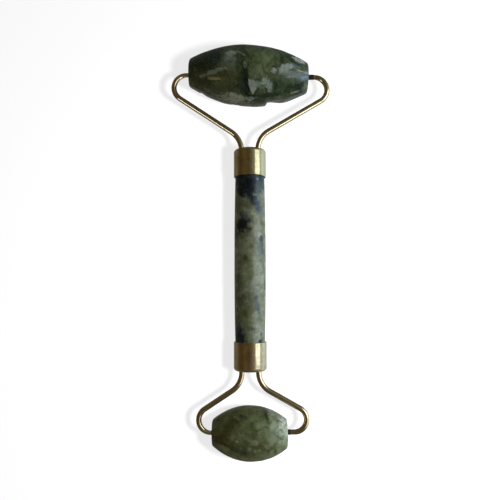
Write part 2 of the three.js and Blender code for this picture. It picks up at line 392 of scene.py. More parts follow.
def barrel_profile(spec):
    """(radius, along) from the bore's left mouth round the outside to its right mouth."""
    edge, half, swell, rows = spec["edge"], spec["half_length"], spec["profile_radius"], spec["rows"]
    # The rim's round starts where it meets the barrel's own slope.
    reach = (half - edge) / (1 - edge / swell)
    outer = []
    for row in range(rows + 1):
        x = reach * (2 * row / rows - 1)
        outer.append((spec["radius"] - swell + math.sqrt(swell * swell - x * x), x))
    shoulder = outer[0][0]
    tilt = math.degrees(math.asin(reach / swell))
    centre = (shoulder - edge * math.cos(math.radians(tilt)), -reach + edge * math.sin(math.radians(tilt)))
    rim = arc(centre, edge, 270, 360 - tilt, 10)
    rim_radius, end_face = rim[0]
    mouth = ROLLER_BORE_RADIUS + ROLLER_BORE_BEVEL
    left = [(ROLLER_BORE_RADIUS, end_face + ROLLER_BORE_BEVEL)]
    for row in range(ROLLER_FACE_ROWS):
        left.append((mouth + (rim_radius - mouth) * row / ROLLER_FACE_ROWS, end_face))
    left += rim
    right = [(radius, -along) for radius, along in left[::-1]]
    return left + outer[1:-1] + right


def make_roller(name, spec, axle, tilt):
    """A ground and tumbled stone barrel: lumps, a worn rim, chips, and a bore a little off its axis."""

    def weather(radius, along, angle):
        depth = smooth_step(radius, ROLLER_BORE_RADIUS + 0.3, ROLLER_BORE_RADIUS + 2.5)
        if depth == 0:
            return Vector((0, 0, 0))
        around = spoke(angle)
        at = Vector((around.x, along / spec["radius"], around.z)) * 1.6 + spec["seed"]
        lumps = spec["lumps"] * (noise.noise(at) + 0.45 * noise.noise(at * 2.3) - 0.35)
        pits = spec["pits"] * min(0, noise.noise(at * 7) + 0.25)
        taper = spec["taper"] * along / spec["half_length"] * depth
        chips = sum(chip_depth(chip, along, angle, radius) for chip in spec["chips"])
        lean = Vector((along * math.tan(spec["lean"]) + spec["offset"], 0, 0)) * depth
        return around * ((lumps + pits) * depth + taper - chips) + lean

    # The lathe turns about y, so its y becomes the axle and its x becomes the row's +Y.
    turn = Matrix(((0, 1, 0, 0), (1, 0, 0, 0), (0, 0, 1, 0), (0, 0, 0, 1)))
    centre = Matrix.Translation((spec["centre"] * MM, 0, 0))
    place = Matrix.Translation(axle) @ Matrix.Rotation(tilt, 4, "Z") @ centre @ turn
    profile = barrel_profile(spec)
    return lathe(name, profile, ROLLER_SIDES, place, closed=True, shift=weather, sharp_angle=60)


def chip_depth(chip, along, angle, radius):
    """How deep a conchoidal chip cuts: steep on its first side and fading out on the other."""
    middle, spread, start, way, step, length, depth = chip
    away = (math.degrees(angle) - middle + 180) % 360 - 180
    ragged = 0.5 * noise.noise(Vector((math.cos(angle) * 3, 5, math.sin(angle) * 3)) * 2)
    across = 1 - smooth_step(abs(away) / spread, 0.35, 1)
    steep = smooth_step((along - start - ragged) * way, 0, step)
    fade = 1 - smooth_step((along - start) * way, step, length)
    return depth * across * steep * fade * smooth_step(radius, 3, 5)


# A chip: degrees round the stone to its middle, half its spread in degrees, where it starts along the
# stone, the way it runs from there (1 or -1), the width of its steep side, its length and its depth.
LARGE_STONE = {
    "radius": 10.62, "half_length": 21.2, "profile_radius": 44, "edge": 1.3, "rows": 150,
    "centre": -0.4, "lumps": 0.16, "pits": 0.12, "taper": 0.0, "lean": math.radians(-1.2),
    "offset": 0.0, "seed": Vector((3.1, 0.4, 7.7)),
    "chips": [
        (203, 38, 6.1, 1, 1.0, 7.0, 1.1),
        (200, 45, -21.5, 1, 0.5, 15.0, 0.55),
        (205, 40, -17.8, 1, 0.9, 3.0, 0.32),
        (205, 40, -6.6, 1, 1.0, 2.6, 0.16),
        (208, 22, -2.6, -1, 0.8, 3.2, 0.22),
        (305, 16, 15.5, 1, 0.6, 4.0, 0.3),
    ],
}
SMALL_STONE = {
    "radius": 9.15, "half_length": 12.75, "profile_radius": 19.5, "edge": 1.2, "rows": 100,
    "centre": -0.24, "lumps": 0.12, "pits": 0.05, "taper": 0.16, "lean": math.radians(-1.2),
    "offset": -0.16, "seed": Vector((11.9, 5.3, 2.2)),
    "chips": [(24, 50, -4.0, -1, 7.0, 16.0, 0.3)],
}


# -------- node helpers


def colour(value):
    """An sRGB triple of 0 to 255 as a linear colour; a socket or a linear colour is passed on."""
    if isinstance(value, tuple) and len(value) == 3:
        return tuple((part / 255) ** 2.2 for part in value) + (1.0,)
    return value


class Nodes:
    """A short way to write a node tree."""

    def __init__(self, tree):
        self.tree = tree

    def add(self, kind, inputs=None, **settings):
        """Adds a node. inputs maps a socket's name or number to a value or to another socket."""
        node = self.tree.nodes.new("ShaderNode" + kind)
        for key, value in settings.items():
            setattr(node, key, value)
        for key, value in (inputs or {}).items():
            self.feed(node.inputs[key], value)
        return node

    def feed(self, socket, value):
        if isinstance(value, bpy.types.NodeSocket):
            self.tree.links.new(value, socket)
        else:
            socket.default_value = value

    def math(self, operation, a, b=0.0, clamp=False):
        return self.add("Math", {0: a, 1: b}, operation=operation, use_clamp=clamp).outputs[0]

    def vector(self, operation, a, b=(0, 0, 0)):
        return self.add("VectorMath", {0: a, 1: b}, operation=operation).outputs[0]

    def measure(self, operation, a, b=(0, 0, 0)):
        """The number that a vector operation gives, such as a length or a dot product."""
        return self.add("VectorMath", {0: a, 1: b}, operation=operation).outputs["Value"]

    def noise(self, vector, scale, detail=3.0, roughness=0.5, distortion=0.0):
        """The height and the colour of a noise. scale is in features per millimetre."""
        inputs = {"Vector": vector, "Scale": scale / MM, "Detail": detail, "Roughness": roughness,
                  "Distortion": distortion}
        return self.add("TexNoise", inputs).outputs

    def clouds(self, vector, scale, **settings):
        return self.noise(vector, scale, **settings)["Fac"]

    def wander(self, vector, scale, reach, **settings):
        """An offset that varies from place to place, by up to about half of reach millimetres."""
        drift = self.vector("SUBTRACT", self.noise(vector, scale, **settings)["Color"], (0.5, 0.5, 0.5))
        return self.add("VectorMath", {0: drift, 3: reach * MM}, operation="SCALE").outputs[0]

    def cell_value(self, vector, size, channel):
        """A chance value for each cell of a pattern whose cells are about size millimetres wide."""
        cells = self.add("TexVoronoi", {"Vector": vector, "Scale": 1 / (size * MM)})
        return self.add("SeparateColor", {0: cells.outputs["Color"]}).outputs[channel]

    def ridge(self, height, middle):
        """How far a height is from the middle one: near 0 along its contour lines."""
        return self.math("ABSOLUTE", self.math("SUBTRACT", height, middle))

    def ramp(self, value, low, high, to_low=0.0, to_high=1.0):
        """A smooth step of value from low to high."""
        inputs = {"Value": value, "From Min": low, "From Max": high, "To Min": to_low, "To Max": to_high}
        return self.add("MapRange", inputs, interpolation_type="SMOOTHSTEP").outputs[0]

    def about_one(self, value, low, high, share):
        return self.ramp(value, low, high, 1 - share, 1 + share)

    def mix(self, share, a, b, mode="MIX"):
        inputs = {0: share, 6: colour(a), 7: colour(b)}
        return self.add("Mix", inputs, data_type="RGBA", blend_type=mode).outputs[2]

    def bump(self, height, distance, normal=None):
        """distance is in millimetres for a height from 0 to 1."""
        inputs = {"Height": height, "Distance": distance * MM, "Strength": 1.0}
        if normal is not None:
            inputs["Normal"] = normal
        return self.add("Bump", inputs).outputs[0]


class Shader(Nodes):
    """A material and its nodes."""

    def __init__(self, name):
        self.material = bpy.data.materials.new(name)
        self.material.use_nodes = True
        super().__init__(self.material.node_tree)
        self.surface = self.tree.nodes["Principled BSDF"]
        self.place = self.add("TexCoord").outputs["Object"]

    def set(self, **values):
        for key, value in values.items():
            self.feed(self.surface.inputs[key.replace("_", " ")], value)
        return self.material


# -------- materials


def stone_coordinates(shader, space, waver):
    """Wavering object coordinates, wavering (along, girth) coordinates on the skin, and the underside."""
    place, radius = shader.place, space["radius"] * MM
    inputs = {"Vector": place, "Location": tuple(space["origin"]), "Rotation": tuple(space["turn"])}
    local = shader.add("Mapping", inputs, vector_type="TEXTURE").outputs[0]
    split = shader.add("SeparateXYZ", {0: local}).outputs
    angle = shader.math("ARCTAN2", split[space["side"]], split["Z"])
    girth = shader.math("MULTIPLY", angle, radius)
    skin = shader.add("CombineXYZ", {0: split[space["along"]], 1: girth}).outputs[0]
    swirl = shader.wander(place, 0.22, waver, detail=3)
    ripple = shader.wander(place, 1.1, 0.35 * waver, detail=5, roughness=0.6)
    offset = shader.vector("ADD", swirl, ripple)
    flat_offset = shader.vector("MULTIPLY", offset, (1, 1, 0))
    below = shader.ramp(split["Z"], 0.25 * radius, -0.25 * radius)
    return shader.vector("ADD", place, offset), shader.vector("ADD", skin, flat_offset), below


SHARD_FRAY = 0.3
TRIANGLE_SIDES = [(0.0, -2.0, 0.0), (math.sqrt(3), 1.0, 0.0), (-math.sqrt(3), 1.0, 0.0)]


def mark_mask(shader, skin, radius, fray, along, lean, length, width, soft, strength, turn=0, kind="oval"):
    """1 inside a mark on the skin and 0 outside it: an oval, a diamond or a triangle, its edge frayed."""
    location = (along * MM, math.radians(lean) * radius * MM, 0)
    inputs = {"Vector": skin, "Location": location, "Rotation": (0, 0, math.radians(turn)),
              "Scale": (length * MM, width * MM, MM)}
    local = shader.add("Mapping", inputs, vector_type="TEXTURE").outputs[0]
    if kind == "oval":
        away = shader.measure("LENGTH", local)
    elif kind == "diamond":
        away = shader.measure("DOT_PRODUCT", shader.vector("ABSOLUTE", local), (1, 1, 0))
    else:
        first, second, third = (shader.measure("DOT_PRODUCT", local, side) for side in TRIANGLE_SIDES)
        away = shader.math("MAXIMUM", shader.math("MAXIMUM", first, second), third)
    if kind != "oval":
        fray = shader.math("MULTIPLY", fray, SHARD_FRAY)
    return shader.ramp(shader.math("ADD", away, fray), 1 + soft, 1 - soft, 0.0, strength)


def with_marks(shader, base, marks, tones, skin, radius, fray):
    for tone, *mark in marks:
        base = shader.mix(mark_mask(shader, skin, radius, fray, *mark), base, tones[tone])
    return base


def with_underside(shader, base, warped, below, palette, look):
    """Dark blotches and pale shards by chance, on the side that has no marks of its own."""
    dark = shader.clouds(warped, 0.12, detail=4, roughness=0.55, distortion=0.8)
    dark = shader.math("MULTIPLY", shader.ramp(dark, 0.56, 0.66, 0.0, look["blots"]), below)
    base = shader.mix(dark, base, palette["blot"])
    chosen = shader.cell_value(warped, 1.3 * look["cell"], 1)
    pale = shader.math("MULTIPLY", shader.ramp(chosen, 0.78, 0.82, 0.0, look["shards"]), below)
    return shader.mix(pale, base, palette["fleck"])


def with_grain(shader, base, warped, look):
    """The colour made a little lighter and darker by cells, fine grain and wide blotches."""
    cells = shader.about_one(shader.cell_value(warped, look["cell"], 0), 0.0, 1.0, look["cells"])
    grain = shader.clouds(shader.place, 1.5, detail=7, roughness=0.68)
    grain = shader.about_one(grain, 0.25, 0.75, look["grain"])
    blotch = shader.clouds(warped, 0.45, detail=4, roughness=0.6)
    blotch = shader.about_one(blotch, 0.3, 0.7, look["blotch"])
    light = shader.math("MULTIPLY", shader.math("MULTIPLY", cells, grain), blotch)
    light = shader.add("CombineColor", {0: light, 1: light, 2: light}).outputs[0]
    return shader.mix(1.0, base, light, "MULTIPLY")


def vein_mask(shader, warped, look):
    """Healed cracks: a net of bent veins that comes and goes, wide here and hair-thin there."""
    bend = shader.wander(shader.place, 0.28, look["bend"], detail=5, roughness=0.6)
    inputs = {"Vector": shader.vector("ADD", warped, bend), "Scale": 1 / (look["cell"] * 1.3 * MM)}
    edges = shader.add("TexVoronoi", inputs, feature="DISTANCE_TO_EDGE").outputs["Distance"]
    patchy = shader.clouds(warped, 0.25, detail=4, roughness=0.6)
    width = shader.ramp(patchy, 0.38, 0.66, 0.2 * look["crack_width"], look["crack_width"])
    near = shader.math("SUBTRACT", 1.0, shader.math("DIVIDE", edges, width), clamp=True)
    return shader.math("MULTIPLY", near, shader.ramp(patchy, 0.36, 0.56, 0.0, look["crack"]))


def jade(name, tones, palette, regions, marks, space, look):
    """Nephrite: regions, clouds of greens, skin marks (some of them painted glints and sheen), veins, grain
    and polish.
    """
    shader = Shader(name)
    place, radius = shader.place, space["radius"]
    warped, skin, below = stone_coordinates(shader, space, look["waver"])
    cloud = shader.clouds(warped, 0.13, detail=6, roughness=0.6)
    base = shader.mix(shader.ramp(cloud, 0.36, 0.64), palette["dark"], palette["mid"])
    warm = shader.clouds(shader.vector("ADD", warped, (0.3, 0.1, 0.2)), 0.09, detail=3)
    base = shader.mix(shader.ramp(warm, 0.45, 0.62, 0.0, 0.75), base, palette["warm"])
    feathers = shader.clouds(place, look["feather"], detail=7, roughness=0.62)
    fray = shader.ramp(feathers, 0.25, 0.75, -look["fray"], look["fray"])
    base = with_marks(shader, base, regions, tones, skin, radius, fray)
    drift = shader.clouds(warped, look["drift"], detail=6, roughness=0.66)
    base = shader.mix(shader.ramp(drift, 0.50, 0.68, 0.0, look["pale"]), base, palette["pale"])
    base = shader.mix(shader.ramp(drift, 0.50, 0.34, 0.0, look["moss"]), base, palette["moss"])
    base = with_marks(shader, base, marks, tones, skin, radius, fray)
    base = with_underside(shader, base, warped, below, palette, look)
    base = with_grain(shader, base, warped, look)
    crack = vein_mask(shader, warped, look)
    base = shader.mix(crack, base, palette["seam"])
    seam = shader.ridge(shader.clouds(warped, 0.11, detail=5, roughness=0.55, distortion=0.6), 0.5)
    base = shader.mix(shader.ramp(seam, 0.012, 0.0, 0.0, look["seam"]), base, palette["seam"])
    hair = shader.ridge(shader.clouds(place, 0.5, detail=7, roughness=0.7, distortion=0.4), 0.52)
    base = shader.mix(shader.ramp(hair, 0.018, 0.0, 0.0, look["fleck"]), base, palette["fleck"])
    worn = shader.clouds(shader.vector("MULTIPLY", place, (1, 3, 1)), 2.5, detail=8, roughness=0.7)
    rough = shader.ramp(worn, 0.3, 0.75, look["rough"] * 0.75, look["rough"] * 1.35)
    relief = shader.bump(shader.clouds(place, 0.9, detail=5), look["ripple"])
    relief = shader.bump(shader.clouds(place, 6.0, detail=3), 0.01, relief)
    relief = shader.bump(shader.math("SUBTRACT", 1.0, crack), 0.02, relief)
    return shader.set(Base_Color=base, Roughness=rough, Normal=relief, IOR=look["ior"],
                      Subsurface_Weight=0.08, Subsurface_Radius=(1.0, 1.2, 0.8), Subsurface_Scale=0.4 * MM)


def brass(name, tint, tarnish, roughness, dent, grain_axis):
    """Plated brass: uneven tarnish, drawing marks along grain_axis, and a few fine scratches."""
    shader = Shader(name)
    place = shader.place
    blotch = shader.clouds(place, 0.35, detail=5, roughness=0.6)
    marks = shader.clouds(shader.vector("MULTIPLY", place, grain_axis), 3.2, detail=5, roughness=0.65)
    base = shader.mix(shader.ramp(blotch, 0.35, 0.7, 0.0, 0.8), tint, tarnish)
    base = shader.mix(shader.ramp(marks, 0.35, 0.7, 0.0, 0.25), base, tarnish)
    stretched = shader.vector("MULTIPLY", place, (1.0, 0.35, 1.0))
    scratch = shader.ridge(shader.clouds(stretched, 1.1, detail=2, distortion=1.5), 0.5)
    scored = shader.ramp(scratch, 0.006, 0.0)
    rough = shader.math("ADD", shader.ramp(marks, 0.3, 0.7, roughness * 0.7, roughness * 1.4),
                        shader.math("MULTIPLY", scored, 0.15))
    rough = shader.math("ADD", rough, shader.ramp(blotch, 0.45, 0.75, 0.0, 0.1))
    skin = shader.bump(shader.clouds(place, 0.7, detail=3), dent)
    skin = shader.bump(marks, 0.5 * dent, skin)
    skin = shader.bump(shader.math("SUBTRACT", 1.0, scored), 0.7 * dent, skin)
    return shader.set(Base_Color=base, Metallic=1.0, Roughness=rough, Normal=skin)


def plastic(name, tint, light, roughness):
    """A dull moulded plastic with a faint mottle and fine grain."""
    shader = Shader(name)
    mottle = shader.clouds(shader.place, 0.8, detail=5)
    base = shader.mix(shader.ramp(mottle, 0.35, 0.7), tint, light)
    grain = shader.clouds(shader.place, 8.0, detail=3)
    rough = shader.ramp(grain, 0.3, 0.7, roughness * 0.85, roughness * 1.15)
    return shader.set(Base_Color=base, Roughness=rough, Normal=shader.bump(grain, 0.012))


# Marks on a stone's upper side: tone, millimetres along the stone, degrees round it from straight up
# (towards +Y on a roller, +X on the handle), half length, half width, softness of the edge, strength,
# and where they are not 0 and an oval, the turn in degrees and the kind. Later ones lie over earlier ones.
# Of these tones, the pale blue after slate and the straw and glint tones are painted light: sheen and glints
# in the polish, put down as colour.
LARGE_TONES = {
    "chalk": (204, 214, 206), "milk": (176, 181, 156), "shard": (152, 164, 150), "mist": (126, 134, 118),
    "sage": (112, 126, 90), "leaf": (89, 105, 62), "olive": (80, 86, 46), "bark": (58, 58, 32),
    "fern": (60, 76, 44), "teal": (28, 46, 38), "slate": (96, 120, 128), "painted_sheen": (132, 162, 182),
    "pine": (34, 52, 32), "ink": (12, 26, 12), "straw": (158, 146, 108), "glint": (206, 194, 160),
}
LARGE_REGIONS = [
    # Dark green on the upper left, olive below it, leaf green in the middle, dark green on the lower right.
    ("pine", -15.5, 18, 6.6, 5.6, 0.25, 0.9, 25),
    ("olive", -12.0, -42, 9.5, 4.2, 0.35, 0.95),
    ("bark", -16.0, -38, 3.6, 2.2, 0.5, 0.6),
    ("mist", -7.4, 6, 2.4, 3.4, 0.6, 0.4, 25),
    ("leaf", 4.0, 5, 5.2, 6.2, 0.4, 0.95),
    ("sage", 5.6, 12, 2.6, 3.6, 0.6, 0.6),
    ("sage", 2.6, -18, 2.6, 2.4, 0.6, 0.7),
    ("fern", 10.6, -34, 3.0, 4.0, 0.5, 0.7),
    ("pine", 15.6, -50, 3.8, 2.2, 0.4, 0.85, 12),
    ("fern", 12.5, 20, 2.6, 3.0, 0.5, 0.8, -30),
    ("milk", -5.6, -71, 5.6, 2.4, 0.3, 0.97, 4),
    ("mist", -11.6, -68, 3.0, 1.5, 0.6, 0.5, 8),
]
LARGE_MARKS = [
    # The darkest patches of the left half, then its pale streaks and spots, one of them a painted glint.
    ("teal", -11.8, 20, 1.8, 3.4, 0.35, 0.9, 22),
    ("ink", -16.6, 6, 3.4, 2.6, 0.6, 0.45),
    ("teal", -14.0, -6, 0.9, 1.6, 0.5, 0.7, 30),
    ("shard", -6.2, 23, 2.0, 1.4, 0.35, 0.95, 10),
    ("mist", -7.2, 14, 1.6, 1.2, 0.5, 0.7, 30),
    ("mist", -5.4, 8, 1.5, 1.5, 0.4, 0.5, 0, "diamond"),
    ("mist", -11.4, -14, 3.9, 0.9, 0.3, 0.9, 14),
    ("mist", -13.8, -16, 1.6, 1.0, 0.3, 0.85, 20, "triangle"),
    ("mist", -16.7, -26, 0.9, 0.8, 0.4, 0.9, 40),
    # Painted highlight: a warm glint of light in the polish, put down as a straw streak.
    ("straw", -12.0, -29.5, 2.4, 0.45, 0.5, 0.85, -4),
    ("bark", -8.2, -20, 2.4, 1.2, 0.5, 0.5),
    ("mist", -14.8, -62, 1.2, 0.8, 0.5, 0.5),
    # The dark seam across the middle and its branches.
    ("fern", -3.1, -14, 1.4, 8.0, 0.3, 0.9, 5),
    ("pine", -2.2, -42, 1.7, 3.6, 0.35, 0.75),
    ("pine", -1.7, -20, 1.1, 6.6, 0.35, 0.9, 8),
    ("ink", -1.2, -26, 0.7, 4.6, 0.35, 0.95, 9),
    ("ink", -0.6, -47, 1.0, 2.6, 0.35, 0.95, 8),
    ("pine", 0.8, -62, 2.4, 0.7, 0.5, 0.85),
    ("pine", -1.6, 26, 0.7, 3.6, 0.5, 0.75, 24),
    ("mist", -3.0, 22, 1.9, 0.35, 0.4, 0.8, -35),
    ("mist", -1.6, -3, 0.55, 1.1, 0.4, 0.9),
    # The white triangle and the curved white shard beside it.
    ("shard", 1.45, -41, 2.6, 3.2, 0.07, 0.97, 172, "triangle"),
    ("shard", 4.2, -37, 1.3, 0.4, 0.3, 0.85),
    ("shard", 5.7, -33, 1.7, 1.1, 0.2, 0.9, 12),
    ("mist", 5.9, -26, 0.6, 1.3, 0.35, 0.9, 0, "diamond"),
    ("shard", 6.9, -43, 1.0, 1.9, 0.2, 0.92, 10),
    ("sage", 4.4, -46, 1.3, 1.4, 0.25, 0.95),
    ("shard", 0.4, -70, 1.7, 1.2, 0.2, 0.95, 0, "diamond"),
    ("mist", 2.0, -67, 0.9, 0.6, 0.3, 0.8, 30),
    # The right half: pale shards among dark green, and near its end a painted sheen and painted glints.
    ("pine", 11.0, 17, 0.6, 2.6, 0.6, 0.8, 4),
    ("teal", 14.8, 21, 2.6, 0.9, 0.5, 0.85, -32),
    ("fern", 4.6, -8, 0.3, 2.2, 0.6, 0.8, 10),
    ("pine", 8.8, -3.5, 1.4, 0.4, 0.5, 0.8),
    ("olive", 7.6, -22, 1.3, 1.6, 0.5, 0.7, 20),
    ("pine", 9.0, -42, 0.6, 3.0, 0.5, 0.8, 6),
    ("pine", 6.5, -61, 4.0, 0.9, 0.5, 0.7),
    ("shard", 8.6, -12.5, 1.4, 1.1, 0.18, 0.92, 10, "diamond"),
    ("shard", 12.4, -4, 3.0, 1.35, 0.22, 0.92, 44),
    ("shard", 14.2, 2, 1.6, 1.2, 0.25, 0.8, 30, "triangle"),
    ("mist", 11.8, -14, 2.2, 0.8, 0.5, 0.7, 5),
    ("teal", 9.8, -13, 0.3, 0.9, 0.5, 0.7, -20),
    ("slate", 16.6, 8, 1.9, 0.9, 0.5, 0.7),
    ("chalk", 17.6, 36, 2.0, 2.4, 0.35, 0.9, -30),
    ("teal", 17.2, 15, 0.8, 0.5, 0.5, 0.7),
    # Painted reflection: this slate mark and the two pale blue ones below stand in for the window's sheen in
    # the polish at the right end.
    ("slate", 16.4, -22, 4.0, 1.3, 0.7, 0.25, 2),
    ("painted_sheen", 19.2, -25, 1.3, 1.3, 0.7, 0.45),
    ("painted_sheen", 19.8, -8, 0.8, 0.8, 0.7, 0.6),
    ("pine", 19.0, -15, 1.4, 0.5, 0.6, 0.7),
    # Painted highlights: this mark and the straw one after it are warm glints of light in the polish.
    ("glint", 17.4, -5.5, 1.3, 0.32, 0.5, 0.85, -6),
    ("straw", 14.2, -24, 1.8, 0.25, 0.6, 0.6),
    ("teal", 18.0, -46, 1.4, 1.4, 0.5, 0.7),
    ("sage", 19.8, -56, 0.8, 2.2, 0.5, 0.85),
    ("shard", 16.0, -65, 1.2, 0.6, 0.35, 0.85, 10),
    ("mist", 6.8, -74, 0.8, 0.5, 0.5, 0.6),
]
LARGE_PALETTE = {
    "dark": (54, 70, 46), "mid": (85, 99, 68), "warm": (82, 88, 57), "seam": (20, 36, 20),
    "blot": (36, 54, 38), "fleck": (130, 140, 124), "pale": (124, 136, 104), "moss": (34, 50, 26),
}
# The last tone is painted light: a warm glint in the polish, put down as colour.
SMALL_TONES = {
    "chalk": (234, 240, 224), "mint": (168, 180, 150), "sage": (140, 150, 118), "straw": (150, 144, 102),
    "stone": (124, 134, 96), "leaf": (110, 122, 66), "olive": (92, 90, 46), "moss": (72, 84, 34),
    "rust": (66, 66, 22), "smoke": (70, 80, 62), "ink": (38, 50, 26), "painted_spark": (192, 188, 130),
}
SMALL_REGIONS = [
    ("olive", -8.5, 5, 4.0, 7.0, 0.6, 0.9),
    ("olive", -5.5, 0, 2.6, 2.0, 0.6, 0.6),
    ("leaf", -9.5, 44, 3.0, 4.0, 0.6, 0.7),
    ("stone", -3.4, 10, 2.6, 2.2, 0.7, 0.7),
    ("stone", 2.2, 40, 3.2, 4.4, 0.7, 0.7),
    ("sage", 0.6, 96, 8.0, 1.7, 0.5, 0.95),
    ("stone", -10.2, 86, 2.4, 1.6, 0.6, 0.6, 30),
    ("mint", 9.0, 58, 3.0, 5.0, 0.6, 0.95, 20),
    ("sage", 8.3, 22, 2.6, 5.0, 0.7, 0.7, -12),
    ("mint", 11.3, 4, 2.0, 8.0, 0.7, 0.95),
    ("chalk", 11.6, 44, 1.7, 5.0, 0.6, 0.9),
    ("sage", 8.6, -34, 3.6, 4.2, 0.7, 0.85, 18),
    ("straw", -8.5, -38, 3.5, 2.0, 0.6, 0.8, -10),
    ("straw", -4.0, -52, 3.4, 1.4, 0.6, 0.8),
    ("leaf", 3.6, -46, 4.0, 1.6, 0.6, 0.7, 10),
    ("leaf", 5.2, 20, 2.2, 3.4, 0.8, 0.45),
    ("leaf", 1.6, 38, 2.2, 2.0, 0.8, 0.4),
    ("sage", 5.2, -52, 2.8, 2.0, 0.7, 0.6),
]
SMALL_MARKS = [
    # Dark veins and specks.
    ("rust", -7.0, 30, 1.4, 4.0, 0.8, 0.6, -20),
    ("smoke", 4.9, 62, 0.8, 1.9, 0.6, 0.85),
    ("ink", 5.3, 52, 0.45, 2.6, 0.5, 0.97, 3),
    ("moss", 6.1, 34, 0.4, 2.6, 0.6, 0.85, 8),
    ("ink", -2.9, 47, 1.5, 0.7, 0.7, 0.9, -25),
    ("rust", -4.6, 38, 1.8, 0.6, 0.7, 0.85, -50),
    ("moss", 0.6, 26, 1.6, 0.6, 0.7, 0.7, 60),
    ("moss", 1.2, 12, 0.9, 1.6, 0.7, 0.9, -15),
    ("moss", 3.0, 19, 2.2, 0.38, 0.7, 0.95, 35),
    ("moss", 5.6, 24, 1.8, 0.3, 0.6, 0.9, -20),
    ("leaf", 6.0, 16, 0.7, 1.2, 0.6, 0.8),
    ("moss", 2.4, -5, 0.35, 2.1, 0.6, 0.95, 12),
    ("moss", 3.4, -18, 0.35, 1.6, 0.6, 0.9, 35),
    ("rust", -8.0, -17, 2.2, 0.8, 0.6, 0.95, -12),
    ("moss", -5.4, -22, 1.9, 0.9, 0.6, 0.95, -20),
    ("smoke", -2.6, -29, 1.8, 1.0, 0.5, 0.95, -12),
    ("ink", -2.2, -31, 1.0, 0.4, 0.6, 0.7, -20),
    ("rust", -10.4, 0, 1.2, 1.4, 0.7, 0.8),
    ("moss", 8.2, -38, 0.4, 2.4, 0.6, 0.9, 10),
    ("moss", 9.4, 0, 2.4, 0.28, 0.6, 0.8, -40),
    # Pale clouds and specks, and a painted glint.
    ("mint", 7.4, 30, 1.1, 1.7, 0.6, 0.75),
    ("sage", 3.4, 30, 1.5, 1.1, 0.7, 0.6),
    ("sage", 1.2, -6, 1.3, 1.0, 0.7, 0.7),
    ("sage", -5.2, 50, 0.6, 0.5, 0.5, 0.8),
    # Painted highlight: a small warm glint of light in the polish, put down as a pale speck.
    ("painted_spark", -4.4, -5, 0.35, 0.3, 0.6, 0.9),
    ("sage", 1.5, -26, 0.6, 0.5, 0.5, 0.9),
    ("sage", 3.0, -25, 0.5, 0.4, 0.5, 0.8),
    ("sage", -0.4, -20, 0.5, 0.5, 0.5, 0.7),
]
SMALL_PALETTE = {
    "dark": (92, 98, 56), "mid": (110, 118, 76), "warm": (98, 98, 54), "seam": (52, 64, 26),
    "blot": (74, 78, 44), "fleck": (142, 150, 122), "pale": (146, 156, 126), "moss": (70, 78, 30),
}
HANDLE_TONES = {
    "ink": (0, 20, 32), "navy": (5, 35, 50), "steel": (44, 62, 78), "slate": (80, 98, 102),
    "fog": (104, 122, 128), "mist": (146, 162, 166), "cream": (162, 172, 152), "lichen": (116, 124, 78),
    "fern": (70, 76, 52),
}
HANDLE_REGIONS = [
    ("cream", 4.6, 26, 3.6, 2.2, 0.7, 0.6),
    ("cream", -8.0, 30, 5.0, 2.0, 0.7, 0.65),
    ("cream", -12.0, 38, 4.0, 1.4, 0.6, 0.5),
    ("cream", -28.0, 22, 4.4, 2.6, 0.6, 0.75),
    ("cream", 1.2, -16, 2.4, 1.8, 0.7, 0.45),
    ("lichen", -1.6, -2, 3.0, 1.2, 0.8, 0.6, 10),
    ("lichen", -9.0, -8, 3.6, 1.6, 0.8, 0.6),
    ("lichen", -24.6, -14, 3.0, 2.2, 0.8, 0.7),
    ("fern", -12.0, -52, 6.0, 0.9, 0.8, 0.5),
    ("fern", 15.8, -38, 2.0, 3.0, 0.8, 0.45),
    ("fern", 4.4, -38, 1.6, 2.8, 0.8, 0.5),
    ("fern", -17.4, -40, 2.6, 3.0, 0.8, 0.45),
    ("fern", -25.5, -64, 5.0, 1.8, 0.8, 0.6),
    ("cream", -2.2, 28, 2.6, 2.2, 0.7, 0.5),
    ("cream", -13.6, 10, 2.0, 1.4, 0.8, 0.5),
]
